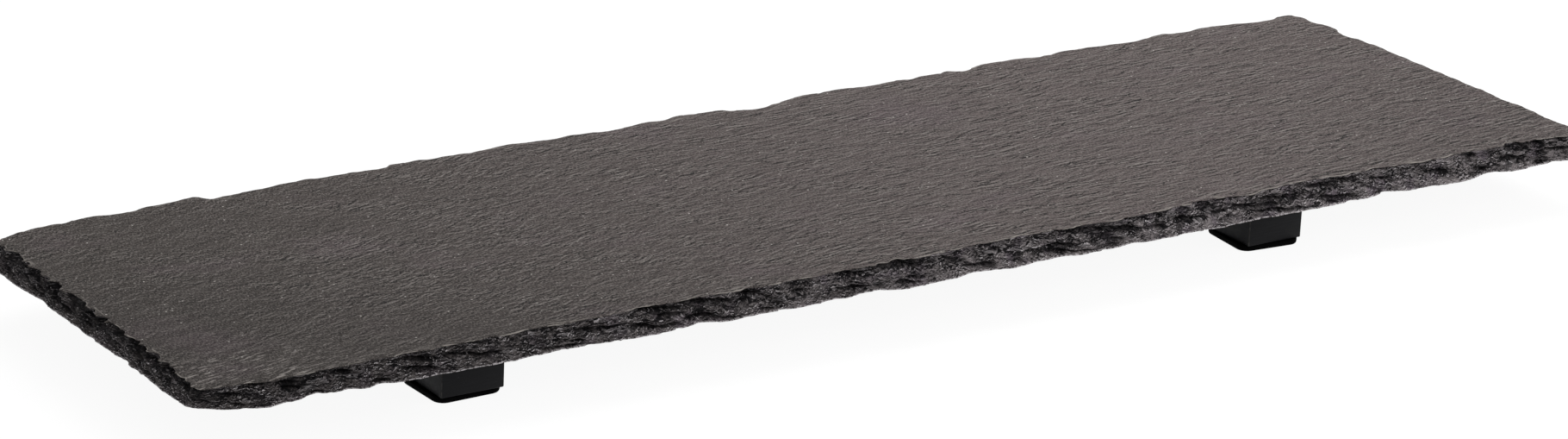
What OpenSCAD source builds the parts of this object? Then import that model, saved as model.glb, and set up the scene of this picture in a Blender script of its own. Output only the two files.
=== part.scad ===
// Slate serving board: a riven slate plank with a hand-dressed edge, carried on
// four square foot blocks that are bonded to its underside and shod with rubber.
// Origin: the centre of the board on the surface that it stands on. X runs along
// the length, Y from front to back, Z up.

/* [Slate] */
// Length of the slate at the foot of its edge
slate_length = 530; // [320:1:600]
// Width of the slate at the foot of its edge
slate_width = 157; // [110:1:260]
// Thickness of the slate
slate_thickness = 8; // [5:0.5:12]

/* [Dressed edge] */
// How far the top face stands back from the foot of the edge
edge_bevel = 2.5; // [1:0.1:4]
// Furthest that the dressed outline strays from the straight
edge_stray = 3.5; // [0:0.1:4]
// Reach of a broken corner along each of its sides
corner_reach = 10; // [4:0.5:14]
// Length of one chip along the edge
chip_length = 10; // [8:0.5:20]
// Depth of the deepest chip
chip_depth = 1.3; // [0:0.1:1.6]

/* [Foot blocks] */
// Side of a foot block where it meets the bond
block_side = 22; // [14:0.5:30]
// Height of a foot block
block_height = 14; // [6:0.5:24]
// How far a block's sides draw in from its top to its foot
block_draft = 0.15; // [0:0.05:1]
// Chamfer along the edges of a block
block_chamfer = 0.4; // [0.2:0.1:1.5]
// From the left end of the slate to the left blocks
inset_left = 89; // [30:1:130]
// From the right end of the slate to the right blocks
inset_right = 114.5; // [30:0.5:130]
// From the long edges of the slate to the blocks
setback = 14.4; // [8:0.2:25]
// Furthest that a block is bonded off its place
block_scatter = 2; // [0:0.1:3]

/* [Bond pads] */
// Thickness of the foam bond between a block and the slate
bond_thickness = 1; // [0.5:0.1:2]
// How far a bond stands back from the sides of its block
bond_margin = 1.2; // [0.5:0.1:3]

/* [Rubber pads] */
// Side of a rubber pad
pad_side = 23.5; // [14:0.5:30]
// Thickness of a rubber pad
pad_thickness = 2; // [1.5:0.1:4]
// Radius of a pad's corners
pad_corner = 4; // [1.5:0.1:6]
// Radius of a pad's lower edge
pad_edge = 0.8; // [0.2:0.1:1.2]
// Furthest that a pad is stuck off the middle of its block
pad_scatter = 2; // [0:0.1:3]

/* [Hidden] */
half_length = slate_length / 2;
half_width = slate_width / 2;
bond_level = pad_thickness + block_height;
slate_level = bond_level + bond_thickness;

// Straying of each side of the outline, as [place along the side, stray outwards]
front_stray_shares = [[.035, -.05], [.045, .1], [.055, -.3], [.06, -.1], [.075, -.95],
    [.085, -.1], [.092, -.55], [.105, .15], [.112, -.45], [.122, .05], [.19, .15], [.21, .15],
    [.23, -.3], [.25, .15], [.3, .3], [.312, .2], [.322, -.4], [.335, .3], [.345, .55],
    [.37, .15], [.395, .6], [.416, .2], [.425, .55], [.435, -.15], [.449, -.1], [.452, .55],
    [.464, 1], [.487, .65], [.494, .45], [.502, .65], [.514, -.05], [.53, .55], [.543, .85],
    [.56, .4], [.584, .4], [.59, .7], [.613, .75], [.634, .4], [.638, .7], [.685, .6],
    [.7, .7], [.73, .45], [.76, .65], [.79, .6], [.835, 0], [.862, .65], [.893, .6],
    [.919, .05], [.932, .5], [.966, .4], [.971, .15], [.98, .5]];
// The front of the top face, which runs on a line of its own
front_top_shares = [[0, -.1], [.04, .4], [.08, .4], [.1, .15], [.13, .25], [.17, .1],
    [.23, .15], [.28, 0], [.33, -.15], [.38, .3], [.415, -.2], [.44, .25], [.5, 0],
    [.553, -.4], [.58, -.1], [.607, .4], [.64, 0], [.67, 0], [.7, -.75], [.73, .1],
    [.76, -.7], [.82, -.7], [.85, .1], [.89, -.2], [.95, -.15], [1, .2]];
right_stray_shares = [[.075, .4], [.12, .25], [.16, .45], [.22, .3], [.28, .05], [.34, .3],
    [.38, .1], [.51, .05], [.66, -.1], [.76, -.25], [.79, -.55], [.85, -.4], [.895, -.2],
    [.915, -.7], [.94, -.9], [.955, -.8]];
back_stray_shares = [[.035, -.95], [.07, -.2], [.08, -.25], [.09, -.85], [.117, .15],
    [.145, .4], [.152, -.85], [.19, -.35], [.21, .15], [.25, .05], [.267, -.4], [.279, .4],
    [.298, .4], [.308, .1], [.342, .05], [.366, .45], [.394, -.05], [.412, .25], [.437, -.4],
    [.455, .35], [.475, .1], [.487, .5], [.518, .3], [.536, -.9], [.55, -.85], [.583, .55],
    [.615, .55], [.638, .1], [.656, .45], [.669, .3], [.699, .7], [.707, .05], [.727, .85],
    [.756, .85], [.773, .4], [.802, .9], [.83, .5], [.853, .2], [.878, 1], [.9, .6],
    [.916, .95], [.946, .3], [.96, -.05], [.984, .6]];
left_stray_shares = [[.08, -.1], [.14, 0], [.24, -.1], [.32, -.1], [.365, -.25], [.4, -.1],
    [.56, -.25], [.65, -.15], [.75, -.2], [.79, -.05], [.87, 0]];

// Corners as they are broken, inwards from the true corner by shares of the reach.
// The front left one is broken at its foot alone, under a top that kept its corner.
front_left_break_shares = [[.05, 1.05], [.11, .91], [.5, .72], [.96, .42], [1.25, .24],
    [1.55, .1]];
front_left_top_shares = [[0, .9], [0, .5], [.04, .16], [.4, .12], [1, .08], [1.6, .04]];
front_right_break_shares = [[.75, -.15], [.25, -.1], [-.05, .05], [-.15, .45]];
back_right_break_shares = [[.35, .25], [.4, .05], [.5, -.12], [.65, -.18]];
back_left_break_shares = [[1.4, .42], [.7, .55], [.25, .62], [.08, .8], [0, 1.1]];

// Rings of the edge from its foot to the top face, as [height, set back]
edge_profile_shares = [[0, 0], [.12, .02], [.28, .1], [.44, .27], [.58, .47], [.72, .68],
    [.86, .86], [1, 1]];
// A row of scars as [middle height, half height, lean along the chip, depth]
upper_scar_shares = [.72, .4, .14, 1];
lower_scar_shares = [.3, .32, .1, .8];
// How much of a scar also nicks the top face, and of the roughness between rings
nick_share = .22;
rough_share = .16;
// How unevenly the chips follow one another
uneven_share = .35;
// How far the left end draws in beside the other sides
left_bevel_share = .3;
seeds = [11, 23, 37, 41, 53];
stations_per_chip = 4;
// Overrun of the chipped edge past the faces that cut it
face_cut = 0.5;

// Where each foot is bonded and each pad is stuck, off its place: front left,
// front right, back left, back right
block_scatter_shares = [[0, .9], [0, -.95], [.4, -.3], [-.35, .5]];
pad_scatter_shares = [[-.25, .55], [-.2, .2], [.3, -.4], [.25, .3]];
pad_turns = [1.5, -4.4, -2.5, 3];
feet = [[-1, -1], [1, -1], [-1, 1], [1, 1]];

// Steps along the rounded lower edge of a pad
edge_steps = 4;
curve_fn = 48;

slate_colour = "#3b3836";
block_colour = "#19191a";
rubber_colour = "#08080a";
bond_colour = "#3c3c3e";

function reversed(list) = [for (i = [len(list) - 1:-1:0]) list[i]];

// Points of the foot of the edge, anticlockwise from the front left
function on_front(s) = [s[0] * slate_length - half_length, -half_width - s[1] * edge_stray];
function on_right(s) = [half_length + s[1] * edge_stray, s[0] * slate_width - half_width];
function on_back(s) = [s[0] * slate_length - half_length, half_width + s[1] * edge_stray];
function on_left(s) = [-half_length - s[1] * edge_stray, s[0] * slate_width - half_width];
function on_corner(s, side_x, side_y) =
    [side_x * (half_length - s[0] * corner_reach), side_y * (half_width - s[1] * corner_reach)];

function dressed_line(front_shares, front_left_shares) = concat(
    [for (s = front_shares) on_front(s)],
    [for (s = front_right_break_shares) on_corner(s, 1, -1)],
    [for (s = right_stray_shares) on_right(s)],
    [for (s = back_right_break_shares) on_corner(s, 1, 1)],
    [for (s = reversed(back_stray_shares)) on_back(s)],
    [for (s = back_left_break_shares) on_corner(s, -1, 1)],
    [for (s = reversed(left_stray_shares)) on_left(s)],
    [for (s = front_left_shares) on_corner(s, -1, -1)]);
foot_line = dressed_line(front_stray_shares, front_left_break_shares);
top_line = dressed_line([for (s = front_stray_shares) [s[0], lookup(s[0], front_top_shares)]],
    front_left_top_shares);

// Both lines by the distance walked along the foot
corner_count = len(foot_line);
function stretch(i) = norm(foot_line[(i + 1) % corner_count] - foot_line[i]);
walked = [for (i = 0, s = 0; i <= corner_count; s = s + stretch(i % corner_count), i = i + 1) s];
function walk(line, axis) = [for (i = [0:corner_count]) [walked[i], line[i % corner_count][axis]]];
foot_walk = [walk(foot_line, 0), walk(foot_line, 1)];
top_walk = [walk(top_line, 0), walk(top_line, 1)];
edge_length = walked[corner_count];

chips = round(edge_length / chip_length);
stations = chips * stations_per_chip;
function at_station(k, walks) = let (s = ((k + stations) % stations) / stations * edge_length)
    [lookup(s, walks[0]), lookup(s, walks[1])];
function outwards(k) = let (d = at_station(k + 1, foot_walk) - at_station(k - 1, foot_walk))
    [d[1], -d[0]] / norm(d);

// Each row of scars has its own uneven bounds and strengths
upper_bounds = rands(-uneven_share, uneven_share, chips, seeds[0]);
lower_bounds = rands(-uneven_share, uneven_share, chips, seeds[1]);
upper_strengths = rands(0, 1, chips, seeds[2]);
lower_strengths = rands(0, 1, chips, seeds[3]);
rough = rands(-rough_share, rough_share, stations * len(edge_profile_shares), seeds[4]);

function bound(i, bounds) = i + bounds[(i + chips) % chips];
function chip_at(t, bounds) = let (i = floor(t))
    t < bound(i, bounds) ? i - 1 : t >= bound(i + 1, bounds) ? i + 1 : i;
function along_chip(t, bounds) = let (i = chip_at(t, bounds), a = bound(i, bounds))
    2 * (t - a) / (bound(i + 1, bounds) - a) - 1;
function hollow(x) = max(0, 1 - x * x);
// Hollow of one row of scars at chip place t and height share h
function scar(t, h, bounds, strengths, row) = let (u = along_chip(t, bounds))
    row[3] * strengths[(chip_at(t, bounds) + chips) % chips] * hollow(u)
    * hollow((h - row[0] + row[2] * u) / row[1]);
function nick(t) = nick_share * hollow(along_chip(t, upper_bounds))
    * upper_strengths[(chip_at(t, upper_bounds) + chips) % chips];
function chipped(k, ring) = let (t = k / stations_per_chip, h = edge_profile_shares[ring][0])
    chip_depth * (scar(t, h, upper_bounds, upper_strengths, upper_scar_shares)
    + scar(t, h, lower_bounds, lower_strengths, lower_scar_shares)
    + (ring == 0 ? 0 : nick(t) * h) + rough[ring * stations + k]);

// From the foot of the edge to the top face, drawn in by the bevel, then chipped.
// The end rings run past the two faces, which are cut flat.
last_ring = len(edge_profile_shares) - 1;
function ring_level(ring) = slate_thickness * edge_profile_shares[ring][0]
    + (ring == 0 ? -face_cut : ring == last_ring ? face_cut : 0);
function whole_point(k, ring) = let (h = edge_profile_shares[ring][0])
    at_station(k, foot_walk) * (1 - h) + at_station(k, top_walk) * h;
function edge_point(k, ring) = let (inset = edge_bevel * edge_profile_shares[ring][1],
    p = whole_point(k, ring), d = outwards(k) * chipped(k, ring),
    end_inset = inset * (p[0] < 0 ? left_bevel_share : 1))
    [p[0] * (1 - end_inset / half_length) - d[0], p[1] * (1 - inset / half_width) - d[1],
    ring_level(ring)];

module slate_slab() {
    points = [for (ring = [0:last_ring], k = [0:stations - 1]) edge_point(k, ring)];
    band = [for (ring = [0:last_ring - 1], k = [0:stations - 1])
        let (a = ring * stations + k, b = ring * stations + (k + 1) % stations)
        each [[a, a + stations, b], [b, a + stations, b + stations]]];
    under = [for (k = [0:stations - 1]) k];
    top = [for (k = [stations - 1:-1:0]) last_ring * stations + k];
    margin = edge_stray + corner_reach;
    color(slate_colour)
        translate([0, 0, slate_level])
            intersection() {
                polyhedron(points, concat(band, [under, top]), convexity = 6);
                translate([-half_length - margin, -half_width - margin, 0])
                    cube([slate_length + 2 * margin, slate_width + 2 * margin,
                        slate_thickness]);
            }
}

// Middle of a foot block
function block_place(i) = [
    feet[i][0] * half_length - feet[i][0] * ((feet[i][0] < 0 ? inset_left : inset_right)
        + block_side / 2) + block_scatter * block_scatter_shares[i][0],
    feet[i][1] * (half_width - setback - block_side / 2)
        + block_scatter * block_scatter_shares[i][1]];

module bond(i) {
    side = block_side - 2 * bond_margin;
    color(bond_colour)
        translate([block_place(i)[0] - side / 2, block_place(i)[1] - side / 2, bond_level])
            cube([side, side, bond_thickness]);
}

// Side view of a block: drawn in towards its foot, with the lower edges taken off
module block_side_view() {
    top = block_side / 2;
    foot = top - block_draft;
    polygon([[-top, block_height], [-foot, block_chamfer], [block_chamfer - foot, 0],
        [foot - block_chamfer, 0], [foot, block_chamfer], [top, block_height]]);
}

module block_plan() {
    a = block_side / 2;
    b = a - block_chamfer;
    polygon([[a, b], [b, a], [-b, a], [-a, b], [-a, -b], [-b, -a], [b, -a], [a, -b]]);
}

module block(i) {
    color(block_colour)
        translate([block_place(i)[0], block_place(i)[1], pad_thickness])
            intersection() {
                linear_extrude(block_height) block_plan();
                rotate([90, 0, 0])
                    linear_extrude(block_side, center = true) block_side_view();
                rotate([90, 0, 90])
                    linear_extrude(block_side, center = true) block_side_view();
            }
}

// Rounded lower corner of a pad's section, from below to the side, reach r out
function pad_rounding(r) = [for (k = [0:edge_steps]) let (a = 90 * k / edge_steps)
    [r - pad_edge + pad_edge * sin(a), pad_edge - pad_edge * cos(a)]];

module pad_section(r) {
    polygon(concat([for (p = reversed(pad_rounding(r))) [-p[0], p[1]]], pad_rounding(r),
        [[r, pad_thickness], [-r, pad_thickness]]));
}

module pad_corner_section() {
    polygon(concat([[0, 0]], pad_rounding(pad_corner),
        [[pad_corner, pad_thickness], [0, pad_thickness]]));
}

module pad(i) {
    straight = pad_side - 2 * pad_corner;
    place = block_place(i) + pad_scatter * pad_scatter_shares[i];
    color(rubber_colour)
        translate([place[0], place[1], 0])
            rotate([0, 0, pad_turns[i]])
                union() {
                    rotate([90, 0, 0])
                        linear_extrude(straight, center = true) pad_section(pad_side / 2);
                    rotate([90, 0, 90])
                        linear_extrude(straight, center = true) pad_section(pad_side / 2);
                    for (corner = feet)
                        translate([corner[0], corner[1], 0] * straight / 2)
                            rotate_extrude($fn = curve_fn) pad_corner_section();
                }
}

slate_slab();
bond(0);  // front_left_bond
bond(1);  // front_right_bond
bond(2);  // back_left_bond
bond(3);  // back_right_bond
block(0);  // front_left_block
block(1);  // front_right_block
block(2);  // back_left_block
block(3);  // back_right_block
pad(0);  // front_left_pad
pad(1);  // front_right_pad
pad(2);  // back_left_pad
pad(3);  // back_right_pad
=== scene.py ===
"""Looks of a slate serving board: a riven plank with a hand-dressed edge on four rubber-shod feet.

Each piece is made over one CAD node, whose box or outline it reads. Lengths are in metres, and
those of the finishes' patterns in millimetres.
"""

from __future__ import annotations

import logging
import math
from dataclasses import dataclass, field
from enum import Enum
from typing import NamedTuple

import bmesh
import bpy
import numpy as np
from mathutils import Matrix, Vector
from mathutils.bvhtree import BVHTree
from mathutils.geometry import delaunay_2d_cdt
from mathutils.kdtree import KDTree


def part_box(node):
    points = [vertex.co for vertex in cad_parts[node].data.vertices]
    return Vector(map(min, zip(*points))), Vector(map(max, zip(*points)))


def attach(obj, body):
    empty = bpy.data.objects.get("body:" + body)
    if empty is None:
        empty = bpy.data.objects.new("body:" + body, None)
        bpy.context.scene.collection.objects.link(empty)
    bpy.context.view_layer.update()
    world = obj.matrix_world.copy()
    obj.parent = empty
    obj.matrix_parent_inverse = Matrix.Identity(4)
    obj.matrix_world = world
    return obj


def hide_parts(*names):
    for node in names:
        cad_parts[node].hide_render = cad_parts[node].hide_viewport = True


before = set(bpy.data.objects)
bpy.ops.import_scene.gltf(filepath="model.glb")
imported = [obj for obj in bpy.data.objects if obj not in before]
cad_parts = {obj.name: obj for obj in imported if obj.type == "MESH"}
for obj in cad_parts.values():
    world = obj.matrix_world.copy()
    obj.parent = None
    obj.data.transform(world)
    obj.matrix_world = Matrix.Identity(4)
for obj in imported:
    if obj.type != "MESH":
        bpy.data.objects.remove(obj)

log = logging.getLogger("slate_serving_board")

MM = 0.001
TINY = 1e-9
INSIDE_ONLY = 1
BODY = "root"
WHITE = (1.0, 1.0, 1.0)

Colour = tuple[float, float, float]


class Slot(Enum):
    """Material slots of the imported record."""

    SLATE = "slate"
    BOND = "bond"
    BLOCK = "block"
    PAD = "pad"


class Foot(Enum):
    """The four feet, by the names of their nodes."""

    FRONT_LEFT = "front_left"
    FRONT_RIGHT = "front_right"
    BACK_LEFT = "back_left"
    BACK_RIGHT = "back_right"


def srgb(red: int, green: int, blue: int) -> Colour:
    """Scene-linear colour of an 8-bit display colour."""
    shares = [channel / 255 for channel in (red, green, blue)]
    return tuple(s / 12.92 if s <= 0.04045 else ((s + 0.055) / 1.055) ** 2.4 for s in shares)


@dataclass(frozen=True)
class Field:
    """One output in a node tree, with arithmetic that adds the nodes for it."""

    graph: Graph
    socket: bpy.types.NodeSocket

    def __add__(self, other: Term) -> Field:
        """Sum of both."""
        return self.graph.math("ADD", self, other)

    def __sub__(self, other: Term) -> Field:
        """This less the other."""
        return self.graph.math("SUBTRACT", self, other)

    def __mul__(self, other: Term) -> Field:
        """Product of both."""
        return self.graph.math("MULTIPLY", self, other)

    def __truediv__(self, other: Term) -> Field:
        """This over the other."""
        return self.graph.math("DIVIDE", self, other)

    def __rsub__(self, other: float) -> Field:
        """The other less this."""
        return self.graph.math("SUBTRACT", other, self)

    def __rtruediv__(self, other: float) -> Field:
        """The other over this."""
        return self.graph.math("DIVIDE", other, self)


Term = Field | float


class Step(NamedTuple):
    """A smooth step: where it starts and ends, and its results before and after."""

    low: float
    high: float
    start: float = 0.0
    end: float = 1.0


# Where the slate is painted from darker at its left to paler at its right, in millimetres: painted
# light, standing for the lamps lighting the right end more.
PAINTED_LIGHT_PLACE = Step(-275.0, 120.0)
# On the way to the near left corner, how much more a step across the plank counts than one along.
CORNER_SLOPE = 1.6


class Graph:
    """A node tree that is written as formulas, for shaders and for geometry alike.

    The places of the Mix node's colour sockets, which share their names with others, are constants.
    """

    FIRST_COLOUR = 6
    SECOND_COLOUR = 7
    MIXED_COLOUR = 2

    def __init__(self, tree: bpy.types.NodeTree) -> None:
        """Empties the tree.

        Args:
            tree: The tree to fill.
        """
        self.tree = tree
        tree.nodes.clear()

    def feed(self, socket: bpy.types.NodeSocket, value: object) -> None:
        """Links a field to a socket, or sets the socket to a plain value.

        Args:
            socket: The input.
            value: A field, or what the socket's default value takes.
        """
        if isinstance(value, Field):
            self.tree.links.new(value.socket, socket)
        elif value is not None:
            is_colour = socket.type == "RGBA" and len(value) == 3
            socket.default_value = (*value, 1.0) if is_colour else value

    def node(self, kind: str, inputs: dict[str | int, object] | None = None,
             **settings: object) -> bpy.types.Node:
        """Adds a node.

        Args:
            kind: Its type.
            inputs: Values or fields by the name or place of the input.
            **settings: Its own properties.

        Returns:
            The node.
        """
        made = self.tree.nodes.new(kind)
        for name, value in settings.items():
            setattr(made, name, value)
        for key, value in (inputs or {}).items():
            self.feed(made.inputs[key], value)
        return made

    def output(self, made: bpy.types.Node, key: str | int = 0) -> Field:
        """One output of a node as a field."""
        return Field(self, made.outputs[key])

    def math(self, operation: str, *terms: Term) -> Field:
        """A number worked out from others."""
        made = self.node("ShaderNodeMath", dict(enumerate(terms)), operation=operation)
        return self.output(made)

    def clamp(self, value: Field) -> Field:
        """The value held between 0 and 1."""
        return self.output(self.node("ShaderNodeClamp", {"Value": value}))

    def ramp(self, value: Field, low: Term, high: Term, start: Term = 0.0,
             end: Term = 1.0) -> Field:
        """Smooth step of a value.

        Args:
            value: What is read.
            low: Where the step starts.
            high: Where it ends.
            start: Result below the step.
            end: Result above it.

        Returns:
            The stepped value.
        """
        inputs = {"Value": value, "From Min": low, "From Max": high, "To Min": start, "To Max": end}
        return self.output(self.node("ShaderNodeMapRange", inputs, interpolation_type="SMOOTHSTEP"))

    def vector(self, x: Term, y: Term, z: Term = 0.0) -> Field:
        """A vector of three numbers."""
        return self.output(self.node("ShaderNodeCombineXYZ", {"X": x, "Y": y, "Z": z}))

    def parts(self, vector: Field) -> tuple[Field, Field, Field]:
        """The three numbers of a vector."""
        made = self.node("ShaderNodeSeparateXYZ", {0: vector})
        return self.output(made, "X"), self.output(made, "Y"), self.output(made, "Z")

    def scaled(self, vector: Field, factor: Term) -> Field:
        """A vector times a number."""
        made = self.node("ShaderNodeVectorMath", {0: vector, "Scale": factor}, operation="SCALE")
        return self.output(made)

    def combined(self, operation: str, first: Field, second: Field | tuple) -> Field:
        """Two vectors worked into one."""
        made = self.node("ShaderNodeVectorMath", {0: first, 1: second}, operation=operation)
        return self.output(made)

    def noise(self, vector: Field, detail: float = 2.0, roughness: float = 0.5) -> Field:
        """Cloudy noise about 0.5, one blob a unit."""
        inputs = {"Vector": vector, "Scale": 1.0, "Detail": detail, "Roughness": roughness}
        return self.output(self.node("ShaderNodeTexNoise", inputs))

    def clouds(self, place: Field, size: Term, detail: float = 2.0,
               roughness: float = 0.5) -> Field:
        """Cloudy noise in space, with blobs of a size."""
        return self.noise(self.scaled(place, 1.0 / size), detail, roughness)

    def sheet(self, along: Term, across: Term, seed: Term = 0.0, detail: float = 2.0,
              roughness: float = 0.5) -> Field:
        """Cloudy noise over two numbers, with another pattern for each seed."""
        return self.noise(self.vector(along, across, seed), detail, roughness)

    def cells(self, vector: Field) -> tuple[Field, Field, Field]:
        """Uneven cells of about one unit.

        Args:
            vector: Where the cells are read.

        Returns:
            Distance to the middle of the nearest cell, its random colour and its middle.
        """
        made = self.node("ShaderNodeTexVoronoi", {"Vector": vector, "Scale": 1.0})
        return (self.output(made, "Distance"), self.output(made, "Color"),
                self.output(made, "Position"))

    def mix(self, factor: Term, first: object, second: object) -> Field:
        """Blend of two colours.

        Args:
            factor: Share of the second.
            first: The first colour.
            second: The second colour.

        Returns:
            The blend.
        """
        inputs = {0: factor, self.FIRST_COLOUR: first, self.SECOND_COLOUR: second}
        made = self.node("ShaderNodeMix", inputs, data_type="RGBA")
        return self.output(made, self.MIXED_COLOUR)

    def coats(self, colour: object, *coats: tuple[Term, object]) -> Field:
        """A colour under coats of others.

        Args:
            colour: The lowest colour.
            *coats: Strength and colour of each coat, from the lowest.

        Returns:
            The colour that shows.
        """
        for strength, coat in coats:
            colour = self.mix(strength, colour, coat)
        return colour

    def group(self, tree: bpy.types.NodeTree, inputs: dict[str, object]) -> bpy.types.Node:
        """A shader node group, placed with its own values."""
        return self.node("ShaderNodeGroup", inputs, node_tree=tree)


class NodeGroup:
    """A node group with named inputs and outputs."""

    def __init__(self, name: str, kind: str, inputs: dict[str, str], outputs: dict[str, str]) -> None:
        """Makes the group and its sockets.

        Args:
            name: Name of the group.
            kind: ShaderNodeTree or GeometryNodeTree.
            inputs: Socket type by name.
            outputs: Socket type by name.
        """
        self.tree = bpy.data.node_groups.new(name, kind)
        for in_out, sockets in (("INPUT", inputs), ("OUTPUT", outputs)):
            for socket, socket_type in sockets.items():
                self.tree.interface.new_socket(socket, in_out=in_out, socket_type=socket_type)
        self.graph = Graph(self.tree)
        self.entry = self.graph.node("NodeGroupInput")
        self.exit = self.graph.node("NodeGroupOutput")

    def input(self, name: str) -> Field:
        """One of the group's inputs as a field."""
        return self.graph.output(self.entry, name)

    def identifier(self, name: str) -> str:
        """Identifier of an input, by which a modifier sets it."""
        return next(item.identifier for item in self.tree.interface.items_tree
                    if item.name == name and item.in_out == "INPUT")


NUMBER = "NodeSocketFloat"
VECTOR = "NodeSocketVector"
GEOMETRY = "NodeSocketGeometry"
MATERIAL = "NodeSocketMaterial"


class Effects:
    """Shader node groups that the finishes share.

    A speck is full within its core, a share of its size. A grain's size is a share of a blotch's.
    """

    SPECK_CORE = 0.4
    FAINTEST_SPECK = 0.4
    GRAIN_IN_BLOTCH = 0.23

    def __init__(self) -> None:
        """Builds each group once."""
        self.flecks = self.make_flecks()
        self.grain = self.make_grain()

    def make_flecks(self) -> bpy.types.NodeTree:
        """Small scattered specks.

        Returns:
            Group with Vector in millimetres, Spacing, Size as a share of it and Share of cells
            that hold one, and with Mask out.
        """
        group = NodeGroup("flecks", "ShaderNodeTree", {
            "Vector": VECTOR, "Spacing": NUMBER, "Size": NUMBER, "Share": NUMBER}, {"Mask": NUMBER})
        g = group.graph
        place = g.scaled(group.input("Vector"), 1.0 / group.input("Spacing"))
        distance, colour, _ = g.cells(place)
        lot, strength, _ = g.parts(colour)
        size = group.input("Size")
        near = g.ramp(distance, size * self.SPECK_CORE, size, 1.0, 0.0)
        chosen = g.math("LESS_THAN", lot, group.input("Share"))
        g.feed(group.exit.inputs["Mask"], near * chosen * (
            strength * (1 - self.FAINTEST_SPECK) + self.FAINTEST_SPECK))
        return group.tree

    def make_grain(self) -> bpy.types.NodeTree:
        """Fine grain of a matt surface.

        Returns:
            Group with Vector in millimetres and Size of a grain in, and Height and Tone out.
        """
        group = NodeGroup("fine grain", "ShaderNodeTree", {
            "Vector": VECTOR, "Size": NUMBER}, {"Height": NUMBER, "Tone": NUMBER})
        g = group.graph
        place = g.scaled(group.input("Vector"), 1.0 / group.input("Size"))
        g.feed(group.exit.inputs["Height"], g.noise(place, detail=3.0, roughness=0.6))
        g.feed(group.exit.inputs["Tone"], g.noise(g.scaled(place, self.GRAIN_IN_BLOTCH)))
        return group.tree


class Finish:
    """Base of the finishes: a material with one Principled shader."""

    name: str

    def build(self, effects: Effects) -> bpy.types.Material:
        """Makes the material.

        Args:
            effects: The shared node groups.

        Returns:
            The finished material.
        """
        material = bpy.data.materials.new(self.name)
        material.use_nodes = True
        g = Graph(material.node_tree)
        shader = g.node("ShaderNodeBsdfPrincipled")
        g.node("ShaderNodeOutputMaterial", {"Surface": g.output(shader)})
        coordinates = g.output(g.node("ShaderNodeTexCoord"), "Object")
        self.dress(g, shader, g.scaled(coordinates, 1 / MM), effects)
        return material

    def dress(self, g: Graph, shader: bpy.types.Node, place: Field, effects: Effects) -> None:
        """Adds the pattern of the finish, given the place on the piece in millimetres."""
        raise NotImplementedError

    @staticmethod
    def bump(g: Graph, shader: bpy.types.Node, height: Field, depth: float) -> None:
        """Raises the surface by a height from 0 to 1 times a depth in metres."""
        made = g.node("ShaderNodeBump", {"Height": height, "Strength": 1.0, "Distance": depth})
        g.feed(shader.inputs["Normal"], g.output(made, "Normal"))


@dataclass(frozen=True)
class Specks:
    """Small scattered specks.

    The spacing is in millimetres, the size a share of it, and the share that of the places
    which hold a speck.
    """

    spacing: float
    size: float
    share: float

    def mask(self, g: Graph, place: Field, effects: Effects) -> Field:
        """Strength of the specks at a place in millimetres."""
        inputs = {"Vector": place, "Spacing": self.spacing, "Size": self.size, "Share": self.share}
        return g.output(g.group(effects.flecks, inputs))


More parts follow.
